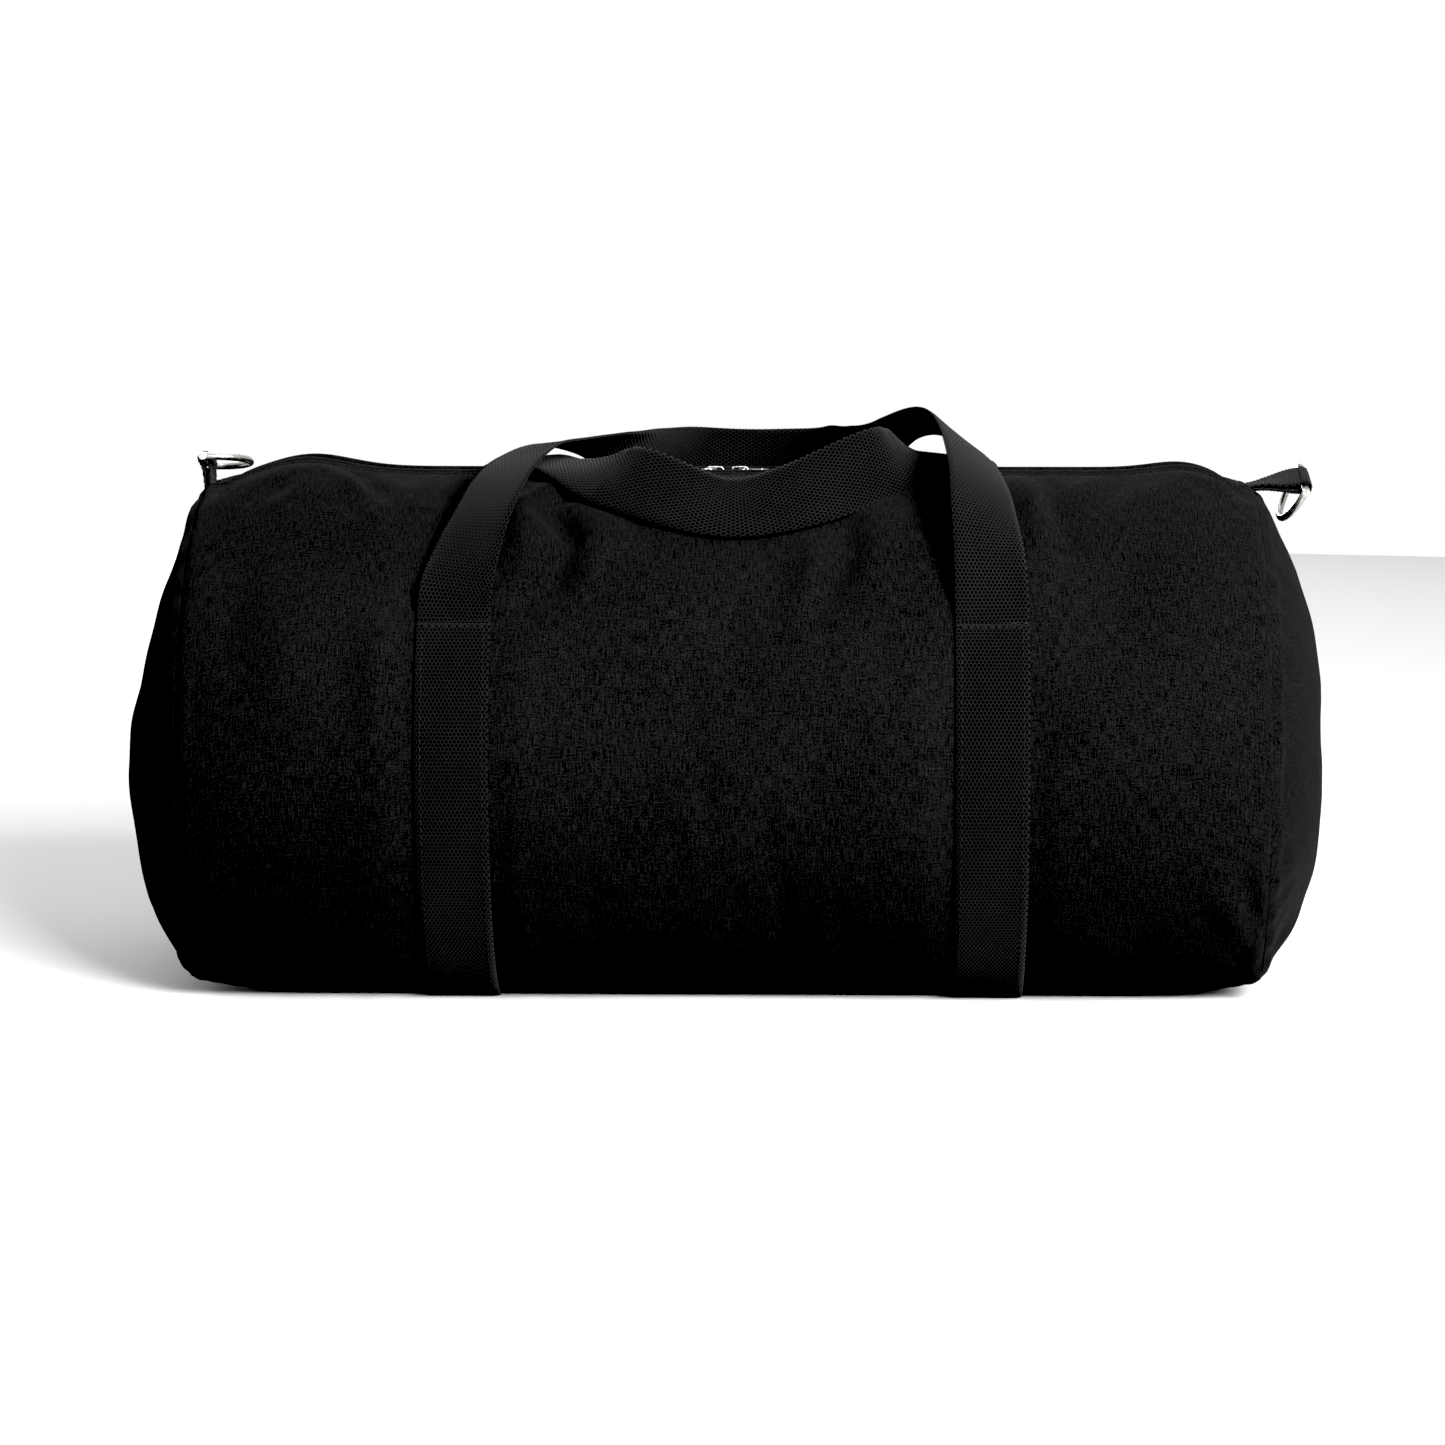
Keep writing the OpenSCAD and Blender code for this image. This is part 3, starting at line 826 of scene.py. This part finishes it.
def body_strap(side, name):
    """A strap from the front stitching, under the bag, to the rear stitching."""
    line, _ = strap_line(side, STRAP_GAP + STRAP_T / 2)
    across = np.tile([1.0, 0, 0], (len(line), 1))
    webbing(name + "_web", line, across, WEB_W, STRAP_T - 0.15, replaces=[name])
    lift = STRAP_GAP + STRAP_T + 0.02
    rows = [strap_line(side, lift, k * (WEB_W / 2 - 2.6), BUTT_Z - 1.5) for k in (-1, 1)]
    stitches(name + "_stitching", rows, radius=0.17)


def cross_row(side, face, name):
    """The row of stitches across the top of a body strap, where the handle leaves the bag."""
    line, normal = strap_line(side, STRAP_GAP + STRAP_T + 0.05, 0.0, BUTT_Z - 1.2)
    end = -1 if face > 0 else 0
    half = WEB_W / 2 - 2.2
    row = line[end] + np.linspace(-half, half, 24)[:, None] * [1, 0, 0]
    out = np.tile(normal[end], (24, 1))
    stitches(name + "_stitching", [(row, out)], length=2.1, gap=0.7, radius=0.24, replaces=[name])


# Stations of each handle between its roots: the webbing's middle, and the direction across it
FRONT_RUN = [
    ((-107.9, -98, 174.6), (0.995, -0.1, 0)),
    ((-104.3, -90, 188), (0.94, -0.33, 0.05)),
    ((-98, -79, 204.6), (0.85, -0.51, 0.1)),
    ((-91, -62, 218), (0.84, -0.49, 0.15)),
    ((-82, -42, 226), (0.84, -0.44, 0.2)),
    ((-70, -18, 228.6), (0.62, -0.76, 0.12)),
    ((-54, 12, 226.6), (0.3, -0.88, 0.32)),
    ((-34, 44, 219.6), (0.1, -0.66, 0.74)),
    ((-8, 66, 215.4), (0, -0.05, 1)),
    ((20, 67, 214.8), (0, 0.03, 1)),
    ((45, 53, 217.6), (-0.1, -0.37, 0.93)),
    ((64, 27, 228), (-0.4, -0.78, 0.45)),
    ((77, 12, 233.6), (-0.58, -0.74, 0.28)),
    ((91, -15, 234.8), (-0.64, -0.5, 0.56)),
    ((99, -38, 229.6), (-0.76, -0.35, 0.55)),
    ((103.8, -63, 218), (-0.84, -0.42, 0.38)),
    ((105.8, -81, 203.5), (-0.9, -0.4, 0.15)),
    ((107.8, -94, 185.4), (-0.97, -0.22, 0)),
]
REAR_RUN = [
    ((-107.9, 97, 182), (0.97, 0.2, -0.05)),
    ((-104, 80, 198), (0.92, 0.38, -0.1)),
    ((-96, 54, 212.3), (0.78, 0.62, -0.1)),
    ((-85, 16, 220), (0.55, 0.83, 0)),
    ((-71, -17, 220.4), (0.3, 0.94, 0.05)),
    ((-59, -36, 219.4), (0.15, 0.94, 0.28)),
    ((-48, -50, 217.4), (0.05, 0.76, 0.65)),
    ((-34, -60, 214.6), (0, 0.42, 0.91)),
    ((0, -67.5, 205.4), (0, 0.64, 0.77)),
    ((32, -63, 210.5), (0, 0.5, 0.86)),
    ((60, -47.5, 221), (-0.05, 0.25, 0.97)),
    ((73, -34, 223.2), (-0.18, 0.6, 0.78)),
    ((84.5, -14, 222.6), (-0.35, 0.88, 0.22)),
    ((95, 14, 221.2), (-0.6, 0.78, 0.02)),
    ((102, 44, 216.2), (-0.78, 0.6, -0.02)),
    ((106, 74.5, 201.8), (-0.93, 0.35, -0.1)),
    ((108.2, 96.5, 181.5), (-0.98, 0.15, -0.05)),
]


def handle(run, face, name):
    """A handle whose two ends carry on from the body straps under the cross stitching."""
    lift = STRAP_GAP + STRAP_T / 2
    roots = []
    for side in (-1, 1):
        line, _ = strap_line(side, lift)
        foot = line[-1] if face > 0 else line[0]
        step = line[-8] if face > 0 else line[7]
        rise = (foot - step) / np.linalg.norm(foot - step)
        across = np.array([-side, 0, 0])
        roots.append([(foot + rise * 0.04, across), (foot + rise * 1.2, across),
                      (foot + rise * 3.5 + [0, face * 0.3, 0], across)])
    stations = roots[0] + [(np.array(c), np.array(w)) for c, w in run] + roots[1][::-1]
    place = curve([c for c, _ in stations], 24)
    across = curve([w for _, w in stations], 24)
    piece = webbing(name + "_web", place, across, WEB_W, HANDLE_T - 0.1, body=None, replaces=[name],
                    curl=0.35)
    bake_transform(piece)


# ---------------------------------------------------------------- zip
def zip_tape(face, name):
    """Woven tape from beside the teeth to under the panel's folded edge."""
    xs = np.linspace(-COIL_END - 4, COIL_END + 4, 201)
    profile = np.array([
        [2.1, 0], [4, -0.02], [6.2, -0.08], [8.2, -0.15], [10.5, -0.5], [13.5, -1.0], [16.3, -1.45],
    ])
    top = ZIP_Z - 1.15
    grid = np.zeros((len(xs), len(profile), 3))
    grid[:, :, 0] = xs[:, None]
    grid[:, :, 1] = face * profile[:, 0]
    grid[:, :, 2] = top + profile[:, 1] + 0.1 * np.sin(xs / 23 + face)[:, None]
    normal = np.zeros_like(grid)
    normal[:, :, 2] = 1
    points, faces = thicken(grid, normal, 0.55)
    uv = np.tile(np.stack([grid[:, :, 1], grid[:, :, 0]], -1).reshape(-1, 2) * MM, (2, 1))
    make(name + "_woven", points, faces, uv, look=TAPE, replaces=[name])


def zip_coil(face, name):
    """Nylon coil: a row of rounded loops, half a pitch out of step with the other row."""
    pitch = 1.5
    count = int(2 * COIL_END / pitch)
    points, faces = [], []
    ring = 8
    stations = [(0.14, 0.62), (0.5, 0.98), (1.6, 0.9), (2.6, 0.86), (3.0, 0.5)]
    for i in range(count):
        x = -COIL_END + pitch * (i + (0.25 if face > 0 else 0.75))
        start = len(points)
        for y, r in stations:
            for k in range(ring):
                angle = 2 * math.pi * k / ring
                points.append((x + 0.62 * r * math.cos(angle) + 0.12 * (y - 1.5) * face,
                               face * y, ZIP_Z + 1.08 * r * math.sin(angle)))
        faces += [tuple(start + v for v in f) for f in capped(len(stations), ring)]
    make(name + "_teeth", np.array(points), faces, look=TEETH, replaces=[name])


def finish_metal(name, shape, body, node):
    """Turns a bmesh into a nickel piece that rides on body and stands for a node."""
    mesh = bpy.data.meshes.new(name)
    shape.to_mesh(mesh)
    shape.free()
    mesh.polygons.foreach_set("use_smooth", [True] * len(mesh.polygons))
    mesh.materials.append(NICKEL)
    obj = add_object(name, mesh)
    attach(obj, body)
    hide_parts(node)
    return obj


def bevelled(name, parts, bevel, body, node):
    """One nickel mesh of prisms, each (outline in the XY plane, z0, z1), with their edges rounded."""
    shape = bmesh.new()
    for outline, z0, z1 in parts:
        lower = [shape.verts.new((x * MM, y * MM, z0 * MM)) for x, y in outline]
        upper = [shape.verts.new((x * MM, y * MM, z1 * MM)) for x, y in outline]
        shape.faces.new(list(reversed(lower)))
        shape.faces.new(upper)
        for i in range(len(outline)):
            j = (i + 1) % len(outline)
            shape.faces.new((lower[i], lower[j], upper[j], upper[i]))
    bmesh.ops.recalc_face_normals(shape, faces=shape.faces)
    bmesh.ops.bevel(shape, geom=list(shape.edges), offset=bevel * MM, segments=2, profile=0.6, affect="EDGES")
    finish_metal(name, shape, body, node)


def sided(outline, side, middle=0.0):
    """The outline on its own side of the bag, still counter-clockwise."""
    placed = [(middle + side * x, y) for x, y in outline]
    return placed[::-1] if side < 0 else placed


def rod(line, radius, sides):
    """Points and faces of a round bar along a line."""
    line = np.asarray(line, float)
    tangent = np.gradient(line, axis=0)
    tangent /= np.linalg.norm(tangent, axis=1, keepdims=True)
    hint = np.array([0, 1.0, 0]) if abs(tangent[0][1]) < 0.9 else np.array([1.0, 0, 0])
    points = []
    for c, t in zip(line, tangent):
        b = np.cross(t, hint)
        b /= np.linalg.norm(b)
        n = np.cross(b, t)
        for k in range(sides):
            angle = 2 * math.pi * k / sides
            points.append(c + radius * (n * math.cos(angle) + b * math.sin(angle)))
    return np.array(points), capped(len(line), sides)


SLIDER_GAP = 0.2
SLIDER_L = 10.0
PIVOT_Z = ZIP_Z + 3.4


def slider(side, name):
    """Cast slider body: two plates with flared shoulders, side flanges and an arched bridge."""
    middle = side * (SLIDER_GAP + SLIDER_L / 2)
    nose, tail = -SLIDER_L / 2 + 0.05, SLIDER_L / 2 - 0.05
    outline = [(nose, -3.3), (nose + 1.2, -4.5), (nose + 3.6, -4.75), (nose + 6.2, -4.1), (tail - 0.6, -3.7),
               (tail, -3.0), (tail, 3.0), (tail - 0.6, 3.7), (nose + 6.2, 4.1), (nose + 3.6, 4.75),
               (nose + 1.2, 4.5), (nose, 3.3), (nose, 0.9), (nose + 0.5, 0), (nose, -0.9)]
    outline = sided(outline, side, middle)
    flanges = []
    for y in (-1, 1):
        wing = [(nose + 2.6, y * 4.05), (tail - 0.8, y * 3.45), (tail - 0.8, y * 3.0), (nose + 2.6, y * 3.6)]
        wing = [(middle + side * x, v) for x, v in wing]
        if side * y > 0:
            wing.reverse()
        flanges.append((wing, ZIP_Z - 0.35, ZIP_Z + 1.6))
    top, low, plate = ZIP_Z + 1.46, ZIP_Z - 2.95, 0.78
    parts = [(outline, top, top + plate), (outline, low, low + plate), *flanges]
    bevelled(name + "_plates", parts, 0.22, name, name)
    rise = [(-3.6, 1.9), (-3.55, 2.8), (-3.3, 3.9), (-2.5, 4.6)]
    arch = rise + [(0, 4.75)] + [(-x, z) for x, z in rise[::-1]]
    line = curve([(middle + x, 0, ZIP_Z + z) for x, z in arch], 5)
    points, faces = rod(line, 0.36, 12)
    points[:, 1] *= 3.0
    make(name + "_bridge", points, faces, body=name, look=NICKEL)


def pull(side, name):
    """Flat pull: two arms round the bridge, a bar between them and a tongue with a hole."""
    middle = side * (SLIDER_GAP + SLIDER_L / 2)
    shape = bmesh.new()
    tongue = 14
    outer = [(-0.6, 2.5), (-0.2, 2.95), (3.0, 3.0), (6.4, 2.55), (8.2, 2.5)]
    for k in range(tongue + 1):
        angle = math.pi / 2 - math.pi * k / tongue
        outer.append((9.6 + 2.75 * math.cos(angle), 2.75 * math.sin(angle)))
    outer += [(8.2, -2.5), (6.4, -2.55), (3.0, -3.0), (-0.2, -2.95), (-0.6, -2.5)]
    eye = [(0.55, 1.9), (3.4, 1.9), (4.9, 1.3), (5.2, 0.5)]
    eye += [(x, -y) for x, y in eye[::-1]]
    hole = [(9.5 + 1.15 * math.cos(t), 1.15 * math.sin(t)) for t in np.linspace(0, 2 * math.pi, 17)[:-1]]
    half = 0.48
    loops = []
    for outline in (outer, eye, hole):
        verts = [shape.verts.new((x, y, 0)) for x, y in outline]
        loops.append([shape.edges.new((a, b)) for a, b in zip(verts, verts[1:] + verts[:1])])
    bmesh.ops.triangle_fill(shape, use_beauty=True, edges=[e for loop in loops for e in loop])
    bmesh.ops.solidify(shape, geom=shape.faces[:], thickness=2 * half)
    low = min(v.co.z for v in shape.verts)
    lift = PIVOT_Z - half - low
    for v in shape.verts:
        v.co = Vector((middle + side * v.co.x, v.co.y, v.co.z + lift)) * MM
    bmesh.ops.recalc_face_normals(shape, faces=shape.faces)
    sharp = [e for e in shape.edges if len(e.link_faces) == 2 and e.calc_face_angle() > 1.0]
    bmesh.ops.bevel(shape, geom=sharp, offset=0.16 * MM, segments=2, profile=0.6, affect="EDGES")
    smooth_by_angle(finish_metal(name + "_tongue", shape, name, name))


def smooth_by_angle(obj, degrees=40):
    """Keeps the flat faces of a bevelled metal piece flat."""
    shape = bmesh.new()
    shape.from_mesh(obj.data)
    for e in shape.edges:
        if len(e.link_faces) == 2 and e.calc_face_angle() > math.radians(degrees):
            e.smooth = False
    shape.to_mesh(obj.data)
    shape.free()


def zip_stop(side, name):
    """Metal crimp that closes the teeth at one end of the zip."""
    x0 = COIL_END + 0.15
    outline = sided([(x0, -3.3), (x0 + 2.3, -3.3), (x0 + 2.3, 3.3), (x0, 3.3)], side)
    bevelled(name + "_crimp", [(outline, ZIP_Z - 1.0, ZIP_Z + 1.0)], 0.45, "bag", name)


def zip_end_tab(side, name):
    """Folded canvas patch over the end of the zip, sewn down along both edges."""
    grid_x, grid_y = 15, 25
    xs = np.linspace(202.4, 218.5, grid_x)
    ys = np.linspace(-14.5, 14.5, grid_y)
    grid = np.zeros((grid_x, grid_y, 3))
    for i, x in enumerate(xs):
        e = drawn(x)
        top = TOP_H - TOP_DRAW * e
        rise = 0.55 + 0.9 * math.exp(-((x - 203.4) / 1.2) ** 2)
        z = MID_Z + top * (1 - np.abs(ys / (HALF_W - SIDE_DRAW * e)) ** UPPER_POWER) ** (1 / UPPER_POWER)
        crown = 0.5 * np.sin(math.pi * i / (grid_x - 1)) * (1 - (ys / 15) ** 2)
        grid[i] = np.stack([np.full(grid_y, side * x), ys, z + rise + crown], -1)
    normal = np.zeros_like(grid)
    normal[:, :, 2] = 1
    points, faces = thicken(grid, normal, 0.9)
    uv = np.tile(grid[:, :, :2].reshape(-1, 2) * MM, (2, 1))
    make(name + "_patch", points, faces, uv, look=CANVAS, replaces=[name])
    up = np.tile([0, 0, 1.0], (grid_y, 1))
    lines = [(grid[i] + [0, 0, 0.1], up) for i in (2, grid_x - 4)]
    stitches(name + "_stitching", lines, radius=0.22)


# ---------------------------------------------------------------- seams, tabs and rings
def seam_binding(side, name):
    """Woven tape folded over the seam allowance inside the bag."""
    around = 192
    a = np.linspace(0, 2 * math.pi, around, endpoint=False)
    rim = section(SEAM_X, a)[:, 1:]
    centre = np.array([0, MID_Z])
    radius = np.linalg.norm(rim - centre, axis=1, keepdims=True)
    inward = (centre - rim) / radius
    loop = [(-1.4, 1.9), (-1.5, 3.5), (-1.35, 7.0), (-0.9, 8.6), (-0.3, 8.9),
            (0.3, 8.6), (0.6, 7.0), (0.6, 3.5), (0.45, 1.9)]
    waves = 0.25 * np.sin(a * 37)
    rings = []
    for dx, depth in loop:
        yz = rim + inward * (depth + waves[:, None] * (depth > 6))
        x = side * (SEAM_X - 1.0 + dx)
        rings.append(np.column_stack([np.full(around, x), yz]))
    grid = np.array(rings).transpose(1, 0, 2)
    cols = len(loop)
    points = grid.reshape(-1, 3)
    faces = []
    for r in range(around):
        here, ahead = r * cols, (r + 1) % around * cols
        for c in range(cols):
            beside = (c + 1) % cols
            faces.append((here + c, here + beside, ahead + beside, ahead + c))
    uv = np.stack([np.tile(np.arange(cols) * 1.8, around), np.repeat(a * END_R, cols)], -1) * MM
    make(name + "_tape", points, faces, uv, look=TAPE, replaces=[name])


RING_PIVOT = {-1: np.array([-221.5, 0, 219.5]), 1: np.array([243.5, 0, 212.0])}
TAB_ROOT = {-1: np.array([-220.5, 0, 208.8]), 1: np.array([222.0, 0, 209.2])}
RING_ROLL = {-1: math.radians(-12), 1: math.radians(16)}
TAB_W = 21.0


def ring_tab(side, name):
    """Webbing folded in half round the ring's bar and twisted to it, its two ends caught in the seam."""
    root, pivot = TAB_ROOT[side], RING_PIVOT[side]
    length = np.linalg.norm(pivot - root)
    ahead = (pivot - root) / length
    up = np.cross([0, 1.0, 0], ahead)
    up *= 1 if up[2] > 0 else -1

    def twisted(points, at, origin=pivot):
        """Turns each point about a line along X through origin: not at all at the seam, fully at the eye."""
        turn = RING_ROLL[side] * smooth(at, 0, length - 3.5)
        y, z = (points - origin)[:, 1], (points - origin)[:, 2]
        moved = [y * np.cos(turn) - z * np.sin(turn), y * np.sin(turn) + z * np.cos(turn)]
        return np.column_stack([points[:, 0] - origin[0], *moved]) + origin

    eye_r, spread = 2.5, 0.72
    turns = np.radians(np.linspace(128, -128, 17))
    eye = [(length + eye_r * math.cos(q), eye_r * math.sin(q)) for q in turns]
    upper = [(-2.5, spread), (0.25 * length, spread + 0.6), (0.6 * length, spread + 0.9)]
    lower = [(0.6 * length, -spread - 0.3), (0.25 * length, -spread), (-2.5, -spread)]
    line = curve([root + ahead * u + up * v for u, v in upper + eye + lower], 6)
    at = (line - root) @ ahead
    level = np.tile([0, 1.0, 0], (len(line), 1))
    webbing(name + "_web", twisted(line, at), twisted(level, at, np.zeros(3)), TAB_W, 1.25, replaces=[name])
    half = TAB_W / 2 - 1.6
    row = root + ahead * 0.25 * length + up * (spread + 1.25)
    row = row + np.linspace(-half, half, 12)[:, None] * [0, 1, 0]
    place = twisted(row, np.full(12, 0.25 * length))
    stitches(name + "_stitching", [(place, np.tile(up, (12, 1)))], length=1.8, gap=0.6, radius=0.2)


def topstitch(grid, normal, s):
    """Topstitching along both folded zip edges."""
    column = int(np.abs(s[len(s) // 2] - STITCH_IN).argmin())
    inside = slice(5, -5)
    for name, index in (("front", column), ("rear", -1 - column)):
        points, out = grid[inside, index], normal[inside, index]
        stitches(name + "_zip_topstitch", [(points + out * 0.06, out)], radius=0.18)


# ---------------------------------------------------------------- assembly
add_camera()
add_stage()
panel_points, panel_normals, panel_s = build_panel()
topstitch(panel_points, panel_normals, panel_s)
end_panel(-1, "left_end_panel", 32.2, -0.7, 0.6, SEED + 20)
end_panel(1, "right_end_panel", 28.6, 0.1, 0.8, SEED + 30)
for sign, word in ((-1, "left"), (1, "right")):
    seam_binding(sign, word + "_seam_binding")
    body_strap(sign, word + "_body_strap")
    for face_sign, face_word in ((-1, "front"), (1, "rear")):
        cross_row(sign, face_sign, face_word + "_" + word + "_bartack")
    ring_tab(sign, word + "_ring_tab")
    slider(sign, word + "_slider")
    pull(sign, word + "_pull")
    zip_stop(sign, word + "_zip_stop")
    zip_end_tab(sign, word + "_zip_end_tab")
for face_sign, face_word in ((-1, "front"), (1, "rear")):
    zip_tape(face_sign, "zip_tape_" + face_word)
    zip_coil(face_sign, "zip_coil_" + face_word)
handle(FRONT_RUN, -1, "front_handle")
handle(REAR_RUN, 1, "rear_handle")
for ring_name in ("left_d_ring", "right_d_ring"):
    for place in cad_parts[ring_name].material_slots:
        place.material = NICKEL
